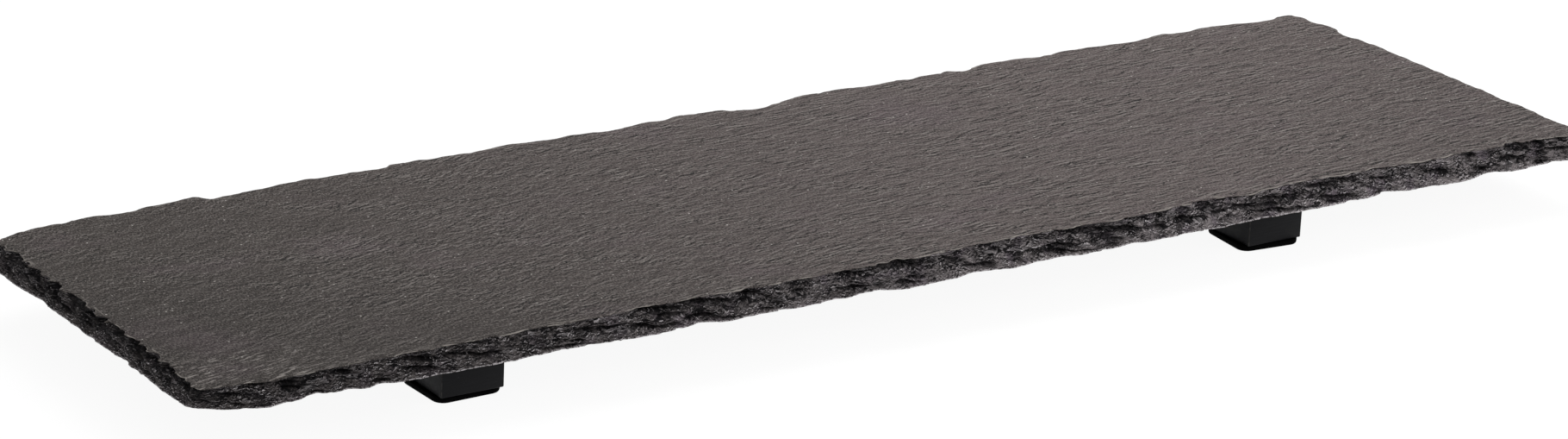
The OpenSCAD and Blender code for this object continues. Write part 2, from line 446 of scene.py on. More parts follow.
@dataclass(frozen=True)
class RivenFace:
    """Pattern of the riven faces: streaks, open layers, a pebbly patch, grit and pale specks.

    Lengths and places are in millimetres, and a noise unit is about half the distance from one
    streak, blob or patch to the next. The end of a step that lays a coat is the coat's strength.
    The sides of the streaks and layer steps that face the lamps are painted pale and the others
    dark, as painted highlights and painted shade, and painted light makes the right end paler.
    """

    # left and right: the face is painted darker at its left end and paler at its right, as painted
    # light from the lamps at the right.
    left: Colour = srgb(69, 64, 61)
    right: Colour = srgb(99, 90, 89)
    tinge: Colour = srgb(100, 88, 92)
    # The dark colour of the streaks and darker places, also painted shade on the sides of streaks and
    # layer steps.
    streak: Colour = srgb(20, 19, 19)
    # The pale colour of ridges, grit and scratches, also painted highlights on the sides of streaks
    # and layer steps.
    crest: Colour = srgb(150, 144, 140)
    speck: Colour = srgb(215, 210, 205)
    grain_slope: float = 0.08
    bend_place: float = 60.0
    bend_softness: float = 80.0
    bend_slope: float = 0.17
    drift: float = 5.0
    drift_length: float = 48.0
    drift_width: float = 30.0
    short_streak: float = 3.0
    long_streak: float = 5.8
    lengthen_place: float = -60.0
    lengthen_softness: float = 90.0
    streak_width: float = 1.1
    ledge: Step = Step(0.47, 0.55, end=0.3)
    band_length: float = 48.0
    band_width: float = 13.0
    band_slope: float = -0.52
    band_rough: Step = Step(0.38, 0.66, 0.65, 1.3)
    pebble_length: float = 1.0
    pebble_width: float = 1.5
    pebbly_slope: float = 0.9
    pebbly_wander: float = 60.0
    pebbly_place: Step = Step(-130.0, -210.0)
    pebbly_rough: Step = Step(0.0, 1.0, 1.0, 0.85)
    corner_place: Step = Step(-190.0, -320.0)
    corner_rough: Step = Step(0.0, 1.0, 1.0, 0.5)
    shade_shift: float = 0.65
    pale_slope: Step = Step(0.05, 0.4, end=0.56)
    dark_slope: Step = Step(-0.08, -0.35)
    slow_pace: float = 0.5
    vein_width: float = 2.6
    veined: Step = Step(0.44, 0.58, 0.35, 1.0)
    terrace_width: float = 3.5
    terrace_count: float = 4.0
    riser: Step = Step(0.3, 0.1)
    pale_riser: Step = Step(0.05, 0.2, end=0.5)
    dark_riser: Step = Step(-0.05, -0.2)
    tinge_length: float = 45.0
    tinge_width: float = 30.0
    tinged: Step = Step(0.52, 0.74, end=0.5)
    shade_length: float = 22.0
    shade_width: float = 4.5
    shaded: Step = Step(0.5, 0.3, end=0.15)
    lit: Step = Step(0.5, 0.7, end=0.09)
    dark_corner: Step = Step(-140.0, -300.0, end=0.3)
    dark_right: Step = Step(160.0, 320.0, end=0.18)
    scratch_length: float = 6.0
    scratch_width: float = 1.1
    scratched: Step = Step(0.57, 0.63, end=0.9)
    scratch_left: Step = Step(-195.0, -238.0)
    scratch_front: Step = Step(-44.0, -62.0)
    grit_length: float = 0.5
    grit_width: float = 0.95
    pale_grit: Step = Step(0.52, 0.7, end=0.38)
    dark_grit: Step = Step(0.48, 0.3, end=0.62)
    specks: Specks = Specks(spacing=2.8, size=0.14, share=0.3)
    streak_relief: float = 0.6
    band_relief: float = 0.5

    def across_grain(self, g: Graph, x: Field, y: Field) -> Field:
        """Distance across the grain, which wanders and turns off at the left end.

        Args:
            g: The material's node tree.
            x: Place along the plank.
            y: Place across it.

        Returns:
            The distance.
        """
        turn = g.math("SMOOTH_MAX", x * -1.0 - self.bend_place, 0.0, self.bend_softness)
        wander = g.sheet(x / self.drift_length, y / self.drift_width, detail=1.0) - 0.5
        return y - x * self.grain_slope + turn * self.bend_slope + wander * self.drift

    def along_grain(self, g: Graph, x: Field) -> Field:
        """Number of streaks passed on the way along the plank, where they grow longer."""
        beyond = g.math("SMOOTH_MAX", x - self.lengthen_place, 0.0, self.lengthen_softness)
        return x / self.short_streak - beyond * (1 / self.short_streak - 1 / self.long_streak)

    def lay(self, g: Graph, place: Field, effects: Effects) -> tuple[Field, Field]:
        """Lays the pattern.

        Args:
            g: The material's node tree.
            place: Place on the piece in millimetres.
            effects: The shared node groups.

        Returns:
            Colour and height of the face.
        """
        x, y, _ = g.parts(place)
        line = self.across_grain(g, x, y)
        along = self.along_grain(g, x)
        band = g.sheet(x / self.band_length, (y - x * self.band_slope) / self.band_width)
        pebbly = g.ramp(x - y * self.pebbly_slope + band * self.pebbly_wander, *self.pebbly_place)
        even = 1.0 - pebbly

        def height(shift: float) -> Field:
            """Height of the streaks and pebbles.

            Args:
                shift: How far behind the place it is read.

            Returns:
                The height, about 0.5.
            """
            behind = line + shift
            streaks = g.sheet(along, behind / self.streak_width, detail=3.0)
            pebbles = g.sheet(x / self.pebble_length, behind / self.pebble_width, seed=5.0,
                              detail=3.0, roughness=0.6)
            both = streaks * even + pebbles * pebbly
            return both + g.ramp(both, *self.ledge)

        def terraces(shift: float) -> Field:
            """Number of the layer that lies open, with its share, read behind the place."""
            return g.sheet(along * self.slow_pace, (line + shift) / self.terrace_width,
                           seed=17.0) * self.terrace_count

        here = height(0.0)
        # The slope tells how the streaks fall towards the lamps; the coats paint their sides pale or
        # dark as painted highlights and painted shade.
        slope = here - height(self.shade_shift)
        level = terraces(0.0)
        fall = level - terraces(self.shade_shift)
        # Where an open layer steps down, its edge is painted pale and its riser dark, as painted
        # highlight and painted shade.
        riser = g.ramp(level - g.math("FLOOR", level), *self.riser)
        from_corner = x + y * CORNER_SLOPE
        rough = (g.ramp(band, *self.band_rough) * g.ramp(pebbly, *self.pebbly_rough)
                 * g.ramp(g.ramp(from_corner, *self.corner_place), *self.corner_rough))
        tinge = g.sheet(x / self.tinge_length, y / self.tinge_width, seed=7.0)
        shade = g.sheet(x / self.shade_length, line / self.shade_width, seed=13.0)
        veins = g.sheet(along * self.slow_pace, line / self.vein_width, seed=23.0)
        strength = rough * g.ramp(veins, *self.veined)
        scratches = g.sheet(x / self.scratch_length, line / self.scratch_width, seed=3.0)
        corner = g.ramp(x, *self.scratch_left) * g.ramp(y, *self.scratch_front)
        # pale: painted highlights on the streaks' sides that face the lamps, and pale scratches near
        # the near left corner.
        pale = (g.ramp(slope, *self.pale_slope) * strength
                + g.ramp(scratches, *self.scratched) * corner)
        grit = g.sheet(x / self.grit_length, y / self.grit_width, seed=9.0, detail=1.0)
        colour = g.coats(
            self.left,
            # Painted light: paler towards the right end.
            (g.ramp(x, *PAINTED_LIGHT_PLACE), self.right),
            (g.ramp(tinge, *self.tinged), self.tinge),
            (g.ramp(from_corner, *self.dark_corner), self.streak),
            (g.ramp(x - y, *self.dark_right), self.streak),
            (g.ramp(shade, *self.shaded), self.streak),
            (g.ramp(shade, *self.lit), self.crest),
            (g.clamp(pale), self.crest),
            (g.clamp(g.ramp(slope, *self.dark_slope) * strength), self.streak),
            (g.clamp(riser * g.ramp(fall, *self.pale_riser) * rough), self.crest),
            (g.clamp(riser * g.ramp(fall, *self.dark_riser) * rough), self.streak),
            (g.ramp(grit, *self.pale_grit), self.crest),
            (g.ramp(grit, *self.dark_grit), self.streak),
            (self.specks.mask(g, place, effects), self.speck))
        return colour, here * rough * self.streak_relief + band * self.band_relief


@dataclass(frozen=True)
class BrokenEdge:
    """Pattern of the broken edge: thin open layers and grains, dark gashes and pale flecks.

    Lengths and places are in millimetres. The tones are weights in the sum that turns the edge
    from dark to light. The end of a step that lays a coat is the coat's strength. The slope tone
    paints light and shade on the layers' sides, the pale flecks are partly painted highlights, the
    gashes' dark cores are painted shadow, and the near left corner and the gaps between flakes are
    painted shade.
    """

    dark: Colour = srgb(12, 11, 13)
    # left and right: the edge is painted darker at its left end and paler at its right, as painted
    # light from the lamps at the right.
    left: Colour = srgb(96, 91, 90)
    right: Colour = srgb(142, 135, 136)
    tinge: Colour = srgb(108, 94, 112)
    fleck: Colour = srgb(224, 218, 221)
    facet_size: float = 4.5
    lean: float = 0.04
    warp: float = 2.5
    fibre_length: float = 1.5
    fibre_height: float = 0.5
    fibre_turn: float = 2.0
    grain_length: float = 0.75
    grain_height: float = 0.45
    grain_warp: float = 1.5
    grain_strength: float = 0.5
    grain_dome: float = 0.2
    layer_mean: float = 0.4
    layer_shift: float = 0.22
    sand_size: float = 0.34
    low: Step = Step(0.45, 0.0)
    base_tone: float = 0.4
    layer_tone: float = 1.1
    slope_tone: float = 1.3
    facet_tone: float = 2.0
    sand_tone: float = 1.2
    low_tone: float = 0.25
    # Painted shade: the edge is painted darker towards the near left corner, on its side away from
    # the lamps.
    corner_tone: Step = Step(-335.0, -375.0, end=0.14)
    tinge_size: float = 7.5
    tinged: Step = Step(0.48, 0.66)
    tinge_place: Step = Step(PAINTED_LIGHT_PLACE.low, PAINTED_LIGHT_PLACE.high, 0.15, 0.45)
    scale_length: float = 6.0
    scale_height: float = 2.6
    scale_seed: float = 6.0
    # Painted shade in the gaps between flakes.
    scale_gap: Step = Step(0.66, 0.82, end=0.6)
    cluster_size: float = 3.2
    low_cluster: float = 0.12
    clustered: Step = Step(0.42, 0.62, 0.15, 1.0)
    flecked: Step = Step(0.12, 0.4, end=0.9)
    gash_length: float = 12.0
    gash_height: float = 2.6
    gash_ragged: float = 0.08
    gash_rise: float = 1.2
    gash_spread: Step = Step(0.41, 0.48)
    gash_place: Step = Step(0.15, 0.4)
    lip_level: float = 0.6
    lip: Step = Step(0.022, 0.008, end=0.2)
    core_level: float = 0.555
    core: Step = Step(0.026, 0.016, end=0.95)

    def lay(self, g: Graph, place: Field, rise: Field, run: Field) -> tuple[Field, Field]:
        """Lays the pattern.

        Args:
            g: The material's node tree.
            place: Place on the piece in millimetres.
            rise: Height on the edge, from 0 at its foot to 1 at the top face.
            run: Way round the slab in millimetres.

        Returns:
            Colour and height of the edge.
        """
        x, y, z = g.parts(place)
        facets = g.clouds(place, self.facet_size)
        leant = z + run * self.lean + facets * self.warp

        def layers(shift: float) -> Field:
            """Height of the open layers and their grains.

            Args:
                shift: How far above the place it is read.

            Returns:
                The height.
            """
            above = leant + shift
            fibres = g.sheet(run / self.fibre_length, above / self.fibre_height,
                             facets * self.fibre_turn, detail=3.0, roughness=0.6)
            warp = fibres * self.grain_warp
            off, colours, _ = g.cells(g.vector(run / self.grain_length + warp,
                                               above / self.grain_height + warp))
            lot, _, _ = g.parts(colours)
            return fibres + (lot - 0.5) * self.grain_strength - off * self.grain_dome

        here = layers(0.0)
        slope = here - layers(self.layer_shift)
        low = g.ramp(rise, *self.low)
        sand = g.clouds(place, self.sand_size, detail=1.0)
        # The slope term paints the layers' sides that face the lamps lighter and the others darker,
        # as painted light and shade.
        tone = ((here - self.layer_mean) * self.layer_tone + slope * self.slope_tone
                + (facets - 0.5) * self.facet_tone + (sand - 0.5) * self.sand_tone
                + low * self.low_tone + self.base_tone
                - g.ramp(x + y * CORNER_SLOPE, *self.corner_tone))
        tinge = g.ramp(g.clouds(place, self.tinge_size), *self.tinged)
        # Painted light: the edge is paler towards the right end.
        light = g.coats(self.left, (g.ramp(x, *PAINTED_LIGHT_PLACE), self.right),
                        (tinge * g.ramp(x, *self.tinge_place), self.tinge))
        scales, _, _ = g.cells(g.vector(run / self.scale_length + here,
                                        leant / self.scale_height + here, self.scale_seed))
        clusters = g.clouds(place, self.cluster_size) + low * self.low_cluster
        gashes = g.sheet(run / self.gash_length, (z + facets) / self.gash_height, seed=12.0,
                         detail=3.0) + here * self.gash_ragged
        spread = g.sheet(run / self.gash_length, rise * self.gash_rise, seed=15.0, detail=1.0)
        held = g.ramp(spread, *self.gash_spread) * g.ramp(rise, *self.gash_place)
        # Each gash has a dark core, painted shadow of a slit under an overhanging layer, and a pale
        # lip beside it.
        lip = g.ramp(g.math("ABSOLUTE", gashes - self.lip_level), *self.lip)
        core = g.ramp(g.math("ABSOLUTE", gashes - self.core_level), *self.core)
        colour = g.coats(
            self.dark,
            (g.clamp(tone), light),
            (g.ramp(scales, *self.scale_gap), self.dark),
            # Pale flecks on the layers' sides that face the lamps: pale powder, placed as painted
            # highlights.
            (g.ramp(slope, *self.flecked) * g.ramp(clusters, *self.clustered), self.fleck),
            (lip * held, self.fleck),
            (core * held, self.dark))
        return colour, here


@dataclass(frozen=True)
class SlateFinish(Finish):
    """Riven faces and a darker broken edge, with painted shade in its hollows, pale bruises above it
    and a pale rim below.

    Lengths are in millimetres, but for the relief. The steps read the height on the edge, from 0
    at its foot to 1 at the top face, its hold on a place of the face, from 1 at the edge to 0,
    how deep it is broken in, which paints shade in the hollows, or a noise.
    """

    name: str = "riven slate"
    face: RivenFace = RivenFace()
    edge: BrokenEdge = BrokenEdge()
    bruise: Colour = srgb(165, 159, 153)
    edge_foot: Step = Step(0.01, 0.04)
    edge_top: Step = Step(0.985, 0.955)
    hollowed: Step = Step(0.4, 0.8, end=0.75)
    bruise_size: float = 6.0
    bruised: Step = Step(0.44, 0.56)
    bruise_rise: Step = Step(0.955, 0.985)
    bruise_hold: Step = Step(0.9, 0.99)
    lap_length: float = 9.0
    lap_count: float = 5.0
    lapped: Step = Step(0.56, 0.66, end=0.6)
    lap_rise: Step = Step(0.99, 0.999)
    lap_hold: Step = Step(0.02, 0.2)
    lap_spacing: float = 22.0
    lap_spread: Step = Step(0.48, 0.58)
    rim_length: float = 1.6
    rimmed: Step = Step(0.44, 0.54)
    rim_top: Step = Step(0.06, 0.03)
    rim_foot: Step = Step(0.0, 0.01)
    pale_share: float = 0.8
    relief: float = 0.3 * MM
    roughness: float = 0.78
    specular: float = 0.06

    def dress(self, g: Graph, shader: bpy.types.Node, place: Field, effects: Effects) -> None:
        """Adds the pattern.

        Args:
            g: The material's node tree.
            shader: Its shader.
            place: Place on the piece in millimetres.
            effects: The shared node groups.
        """
        rise, hold, hollow, way = (
            g.output(g.node("ShaderNodeAttribute", attribute_name=name), "Fac")
            for name in ("rise", "hold", "hollow", "run"))
        run = way / MM
        edge = g.ramp(rise, *self.edge_foot) * g.ramp(rise, *self.edge_top)
        face_colour, face_height = self.face.lay(g, place, effects)
        edge_colour, edge_height = self.edge.lay(g, place, rise, run)
        # Painted shade: the deeper the edge is broken in, the darker it is painted.
        edge_colour = g.mix(g.ramp(hollow, *self.hollowed), edge_colour, self.edge.dark)
        bruises = g.clouds(place, self.bruise_size, detail=3.0, roughness=0.6)
        laps = g.sheet(run / self.lap_length, g.math("SQRT", hold) * self.lap_count, seed=3.0,
                       detail=1.0)
        spread = g.sheet(run / self.lap_spacing, 0.0, seed=8.0, detail=1.0)
        pale = (g.ramp(bruises, *self.bruised) * g.ramp(rise, *self.bruise_rise)
                * g.ramp(hold, *self.bruise_hold)
                + g.ramp(laps, *self.lapped) * g.ramp(rise, *self.lap_rise)
                * g.ramp(hold, *self.lap_hold) * g.ramp(spread, *self.lap_spread))
        teeth = g.sheet(run / self.rim_length, 0.0, seed=11.0, detail=3.0, roughness=0.7)
        rim = (g.ramp(teeth, *self.rimmed) * g.ramp(rise, *self.rim_top)
               * g.ramp(rise, *self.rim_foot))
        g.feed(shader.inputs["Base Color"], g.coats(
            face_colour,
            (edge, edge_colour),
            (g.clamp(pale * self.pale_share), self.bruise),
            (rim * self.pale_share, self.edge.fleck)))
        self.bump(g, shader, face_height * (1.0 - edge) + edge_height * edge, self.relief)
        shader.inputs["Roughness"].default_value = self.roughness
        shader.inputs["Specular IOR Level"].default_value = self.specular


@dataclass(frozen=True)
class MouldedFinish(Finish):
    """Black plastic, rubber or foam: fine grain, faint drawn lines, pale worn corners that also paint
    the highlight along them, and some dusty specks.

    Lengths are in millimetres, but for the depth of the grain.
    """

    name: str
    colour: Colour
    worn: Colour
    roughness: float
    specular: float
    grain_size: float
    grain_depth: float
    line_strength: float = 0.0
    line_length: float = 9.0
    line_height: float = 0.5
    lined: Step = Step(0.48, 0.66)
    mottled: Step = Step(0.35, 0.7)
    mottled_wear: float = 0.35
    mottled_roughness: float = 0.1
    # Pale grey of dust specks and of the worn block corners, which also stands for the painted
    # highlight along them.
    dust: Colour = srgb(120, 118, 116)
    rubbed: Step = Step(0.0, 1.0, 0.15, 0.4)
    specks: Specks = Specks(spacing=0.9, size=0.14, share=0.05)
    speck_strength: float = 0.5

    def dress(self, g: Graph, shader: bpy.types.Node, place: Field, effects: Effects) -> None:
        """Adds the pattern.

        Args:
            g: The material's node tree.
            shader: Its shader.
            place: Place on the piece in millimetres.
            effects: The shared node groups.
        """
        x, y, z = g.parts(place)
        grain = g.group(effects.grain, {"Vector": place, "Size": self.grain_size})
        lines = g.sheet(x / self.line_length, y / self.line_length, z / self.line_height)
        tone = g.ramp(g.output(grain, "Tone"), *self.mottled)
        wear = tone * self.mottled_wear + g.ramp(lines, *self.lined) * self.line_strength
        rubbed = g.output(g.node("ShaderNodeAttribute", attribute_name="rubbed"), "Fac")
        g.feed(shader.inputs["Base Color"], g.coats(
            self.colour,
            (g.clamp(wear), self.worn),
            # Painted highlight: the worn corners of the blocks are painted pale, for wear and for the
            # highlight along them.
            (rubbed * g.ramp(tone, *self.rubbed), self.dust),
            (self.specks.mask(g, place, effects) * self.speck_strength, self.dust)))
        g.feed(shader.inputs["Roughness"], tone * self.mottled_roughness + self.roughness)
        height = g.output(grain, "Height") + lines * self.line_strength
        self.bump(g, shader, height, self.grain_depth)
        shader.inputs["Specular IOR Level"].default_value = self.specular


PLASTIC = MouldedFinish(
    name="black plastic", colour=srgb(14, 14, 16), worn=srgb(27, 27, 30), roughness=0.5,
    specular=0.12, grain_size=0.35, grain_depth=0.03 * MM, line_strength=0.35)
# Black rubber, made near pure black: the rubber's own colour, darkened further as painted shade
# beneath the block.
RUBBER = MouldedFinish(
    name="black rubber", colour=srgb(2, 2, 2), worn=srgb(5, 5, 6), roughness=0.8,
    specular=0.03, grain_size=0.5, grain_depth=0.05 * MM)
FOAM = MouldedFinish(
    name="foam bond", colour=srgb(34, 34, 36), worn=srgb(48, 48, 50), roughness=0.9,
    specular=0.1, grain_size=0.25, grain_depth=0.1 * MM)


def add_piece(name: str, mesh: bpy.types.Mesh, material: bpy.types.Material) -> bpy.types.Object:
    """Puts a mesh into the scene as a piece at the origin.

    Args:
        name: Name of the piece.
        mesh: Its mesh, in place.
        material: Its only material.

    Returns:
        The new object.
    """
    mesh.materials.clear()
    mesh.materials.append(material)
    piece = bpy.data.objects.new(name, mesh)
    bpy.context.scene.collection.objects.link(piece)
    return piece


def ring_solid(rings: list[list[Vector | tuple]]) -> bmesh.types.BMesh:
    """A closed solid from rings of points.

    Args:
        rings: The rings from the lowest, each anticlockwise, with one number of points.

    Returns:
        The solid.
    """
    made = bmesh.new()
    levels = [[made.verts.new(point) for point in ring] for ring in rings]
    count = len(levels[0])
    for below, above in zip(levels, levels[1:]):
        for here in range(count):
            there = (here + 1) % count
            made.faces.new((below[here], below[there], above[there], above[here]))
    made.faces.new(levels[0][::-1])
    made.faces.new(levels[-1])
    return made


def add_solid(name: str, made: bmesh.types.BMesh, sharp_angle: float,
              material: bpy.types.Material) -> bpy.types.Object:
    """Puts a solid into the scene as a smooth piece with sharp edges.

    Args:
        name: Name of the piece.
        made: The solid, in place.
        sharp_angle: Least turn of a sharp edge, in degrees.
        material: Its only material.

    Returns:
        The new object.
    """
    mesh = bpy.data.meshes.new(name)
    made.to_mesh(mesh)
    mesh.shade_smooth()
    mesh.set_sharp_from_angle(angle=math.radians(sharp_angle))
    return add_piece(name, mesh, material)


def hand_over(piece: bpy.types.Object, slot: Slot, *nodes: str) -> None:
    """Lets a piece stand for its CAD nodes and reports it.

    Args:
        piece: The finished piece.
        slot: Its material slot.
        *nodes: The CAD nodes that it stands for.
    """
    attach(piece, BODY)
    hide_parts(*nodes)
    log.info("%s: %d faces, slot %s, for %s", piece.name, len(piece.data.polygons), slot.value,
             ", ".join(nodes))


def bake(piece: bpy.types.Object) -> None:
    """Turns what a piece's modifiers make into its plain mesh.

    Args:
        piece: The piece, whose modifiers go.
    """
    graph = bpy.context.evaluated_depsgraph_get()
    made = bpy.data.meshes.new_from_object(
        piece.evaluated_get(graph), preserve_all_data_layers=True, depsgraph=graph)
    piece.modifiers.clear()
    piece.data = made


def smoothed(values: np.ndarray, width: float) -> np.ndarray:
    """Values round a closed line, smoothed along the last axis.

    Args:
        values: What is smoothed.
        width: Spread of the smoothing, in samples.

    Returns:
        The smoothed values.
    """
    waves = np.fft.rfft(values, axis=-1)
    turns = 2 * math.pi * np.arange(waves.shape[-1]) / values.shape[-1]
    return np.fft.irfft(waves * np.exp(-0.5 * (width * turns) ** 2), values.shape[-1], axis=-1)


@dataclass
class EdgeSurvey:
    """The CAD slab's edge, read at even stations round it."""

    node: str = "slate_slab"
    station_gap: float = 0.72 * MM
    line_smoothing: float = 0.7 * MM
    turn_smoothing: float = 3.5 * MM
    reach: float = 14 * MM
    skin: float = 0.02 * MM
    merge_distance: float = 0.002 * MM
    flat_normal: float = -0.99
    foot: np.ndarray = field(init=False)
    outward: np.ndarray = field(init=False)
    run: np.ndarray = field(init=False)
    low: float = field(init=False)
    high: float = field(init=False)

    def __post_init__(self) -> None:
        """Reads the foot of the edge and its outward directions."""
        lowest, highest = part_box(self.node)
        self.low, self.high = lowest.z, highest.z
        self.mesh = bmesh.new()
        self.mesh.from_mesh(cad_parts[self.node].data)
        bmesh.ops.remove_doubles(self.mesh, verts=self.mesh.verts, dist=self.merge_distance)
        self.tree = BVHTree.FromBMesh(self.mesh)
        line = self.foot_line()
        lengths = np.linalg.norm(np.roll(line, -1, 0) - line, axis=1)
        walked = np.concatenate([[0], np.cumsum(lengths)])
        count = round(walked[-1] / self.station_gap)
        self.run = np.arange(count) * walked[-1] / count
        closed = np.vstack([line, line[:1]])
        even = np.stack([np.interp(self.run, walked, closed[:, axis]) for axis in (0, 1)])
        gap = walked[-1] / count
        self.foot = smoothed(even, self.line_smoothing / gap).T
        slow = smoothed(even, self.turn_smoothing / gap).T
        along = np.roll(slow, -1, 0) - np.roll(slow, 1, 0)
        along /= np.linalg.norm(along, axis=1)[:, None]
        self.outward = np.stack([along[:, 1], -along[:, 0]], 1)

    def foot_line(self) -> np.ndarray:
        """Corners of the slab's underside, anticlockwise from above, from its back right corner.

        Returns:
            One row a corner, with its X and Y.
        """
        under = {f for f in self.mesh.faces if f.normal.z < self.flat_normal
                 and f.calc_center_median().z < self.low + self.skin}
        following = {}
        for face in under:
            for loop in face.loops:
                if any(f not in under for f in loop.edge.link_faces):
                    following[loop.link_loop_next.vert] = loop.vert
        start = max(following, key=lambda v: v.co.x + v.co.y)
        line, vert = [], start
        while not line or vert is not start:
            line.append(vert.co.xy[:])
            vert = following[vert]
        return np.array(line)

    def insets(self, heights: np.ndarray) -> np.ndarray:
        """How far the CAD edge stands back from its foot.

        Args:
            heights: Levels to read it at.

        Returns:
            One row a height, one column a station.
        """
        found = np.zeros((len(heights), len(self.foot)))
        for row, height in enumerate(np.clip(heights, self.low + self.skin, self.high - self.skin)):
            for column, (point, outward) in enumerate(zip(self.foot, self.outward)):
                start = Vector((*(point + outward * self.reach), height))
                *_, distance = self.tree.ray_cast(start, Vector((*-outward, 0.0)))
                found[row, column] = distance - self.reach
        return found


@dataclass
class DressedEdge:
    """The geometry node tree that breaks the edge of the slab and rives its faces.

    Each field is an input of the tree. The steps and weights after them shape its patterns, and
    SHUFFLE reads neighbouring layers and nicks from far-off places of a noise.
    """

    chip_length: float = 9 * MM
    chip_height: float = 4.2 * MM
    chip_depth: float = 1.0 * MM
    lean: float = 0.1
    lamina: float = 1.5 * MM
    lamina_step: float = 0.8 * MM
    slit_length: float = 17 * MM
    slit_depth: float = 1.7 * MM
    nick_length: float = 9 * MM
    nick_depth: float = 2.7 * MM
    coarse_size: float = 7 * MM
    coarse_depth: float = 0.4 * MM
    fine_length: float = 2.4 * MM
    fine_height: float = 0.9 * MM
    fine_depth: float = 0.3 * MM
    riven_length: float = 16 * MM
    riven_width: float = 3.2 * MM
    riven_depth: float = 0.4 * MM
    drift_length: float = 70 * MM
    drift_width: float = 40 * MM
    swell_length: float = 90 * MM
    swell_width: float = 50 * MM
    swell_depth: float = 0.35 * MM
    seed: float = 3.0

    FACE_RISE = Step(0.93, 1.0)
    FOOT_RISE = Step(0.0, 0.14, 0.6, 1.0)
    TOP_RISE = Step(1.0, 0.88, 0.35, 1.0)
    NICK_RISE = Step(0.3, 1.0)
    LEFT_SIDE = Step(-0.3, -0.9)
    BACK_SIDE = Step(0.3, 0.9, 1.0, 0.3)
    CHIP_BASE = 0.3
    CHIP_LOT = 0.4
    CHIP_TURN = 1.6
    CHIP_LEAN = 0.5
    LAMINA_WARP = 1.6
    SHUFFLE = 5.3
    STEPPED = Step(0.38, 0.62)
    SLIT = Step(0.52, 0.62)
    SLIT_NARROWNESS = 4.0
    NICK_WARP = 3.0
    NICK_SEED = 4.0
    NICK_CHANCE = Step(0.5, 0.68)
    LEFT_CHANCE_SHIFT = Step(-0.2, -0.1)
    LEFT_DEPTH = 0.35
    DRIFT_LINES = 6.0
    RIVEN_LEVEL = 0.62
    SWELL_LEVEL = 0.65

    def inputs(self) -> dict[str, float]:
        """Values of the tree's inputs by their names."""
        return {name.replace("_", " ").capitalize(): value for name, value in vars(self).items()}

    def build(self) -> NodeGroup:
        """Makes the tree.

        Returns:
            The group, with one named input for each size.
        """
        sockets = {"Geometry": GEOMETRY, "Stone": MATERIAL, **dict.fromkeys(self.inputs(), NUMBER)}
        group = NodeGroup("dressed edge", "GeometryNodeTree", sockets, {"Geometry": GEOMETRY})
        g = group.graph
        outward = self.attribute(g, "outward", "FLOAT_VECTOR")
        hold = self.attribute(g, "hold", "FLOAT")
        rise = self.attribute(g, "rise", "FLOAT")
        depth = self.edge_depth(group) * hold
        lift = self.face_height(group) * g.ramp(rise, *self.FACE_RISE)
        offset = g.combined("SUBTRACT", g.vector(0.0, 0.0, lift), g.scaled(outward, depth))
        moved = g.node("GeometryNodeSetPosition", {"Geometry": group.input("Geometry"),
                                                   "Offset": offset})
        hollow = depth / (group.input("Chip depth") + group.input("Slit depth"))
        kept = g.node("GeometryNodeStoreNamedAttribute", {
            "Geometry": g.output(moved), "Name": "hollow", "Value": hollow},
            data_type="FLOAT", domain="POINT")
        real = g.node("GeometryNodeRealizeInstances", {"Geometry": g.output(kept)})
        dressed = g.node("GeometryNodeSetMaterial", {"Geometry": g.output(real),
                                                     "Material": group.input("Stone")})
        g.feed(group.exit.inputs["Geometry"], g.output(dressed))
        return group

    @staticmethod
    def attribute(g: Graph, name: str, data_type: str) -> Field:
        """A named attribute of the mesh as a field."""
        made = g.node("GeometryNodeInputNamedAttribute", {"Name": name}, data_type=data_type)
        return g.output(made, "Attribute")

    def edge_depth(self, group: NodeGroup) -> Field:
        """How deep the edge is broken in: chips, thin layers, slits, roughness and nicks.

        Args:
            group: The tree.

        Returns:
            The depth in metres.
        """
        g, take = group.graph, group.input
        place = g.output(g.node("GeometryNodeInputPosition"))
        run = self.attribute(g, "run", "FLOAT")
        rise = self.attribute(g, "rise", "FLOAT")
        _, _, z = g.parts(place)
        leant = z + run * take("Lean")
        warp = g.clouds(place, take("Chip length")) - 0.5
        layers = leant / take("Lamina") + warp * self.LAMINA_WARP
        layer = g.math("FLOOR", layers)
        share = layers - layer
        slow = g.sheet(run / take("Slit length"), layer * self.SHUFFLE, take("Seed"), detail=1.0)
        steps = g.ramp(slow, *self.STEPPED) * take("Lamina step")
        narrow = g.math("POWER", (share - 0.5) * self.SLIT_NARROWNESS, 2.0)
        slits = g.ramp(slow, *self.SLIT) * g.clamp(1.0 - narrow) * take("Slit depth")
        coarse = g.clouds(place, take("Coarse size"), detail=3.0) * take("Coarse depth")
        fine = g.sheet(run / take("Fine length"), leant / take("Fine height"), detail=3.0,
                       roughness=0.6) * take("Fine depth")
        broken = self.chips(group, run, leant, warp) + steps + slits + coarse + fine
        middle = g.ramp(rise, *self.FOOT_RISE) * g.ramp(rise, *self.TOP_RISE)
        return broken * middle + self.nicks(group, run, rise, warp)

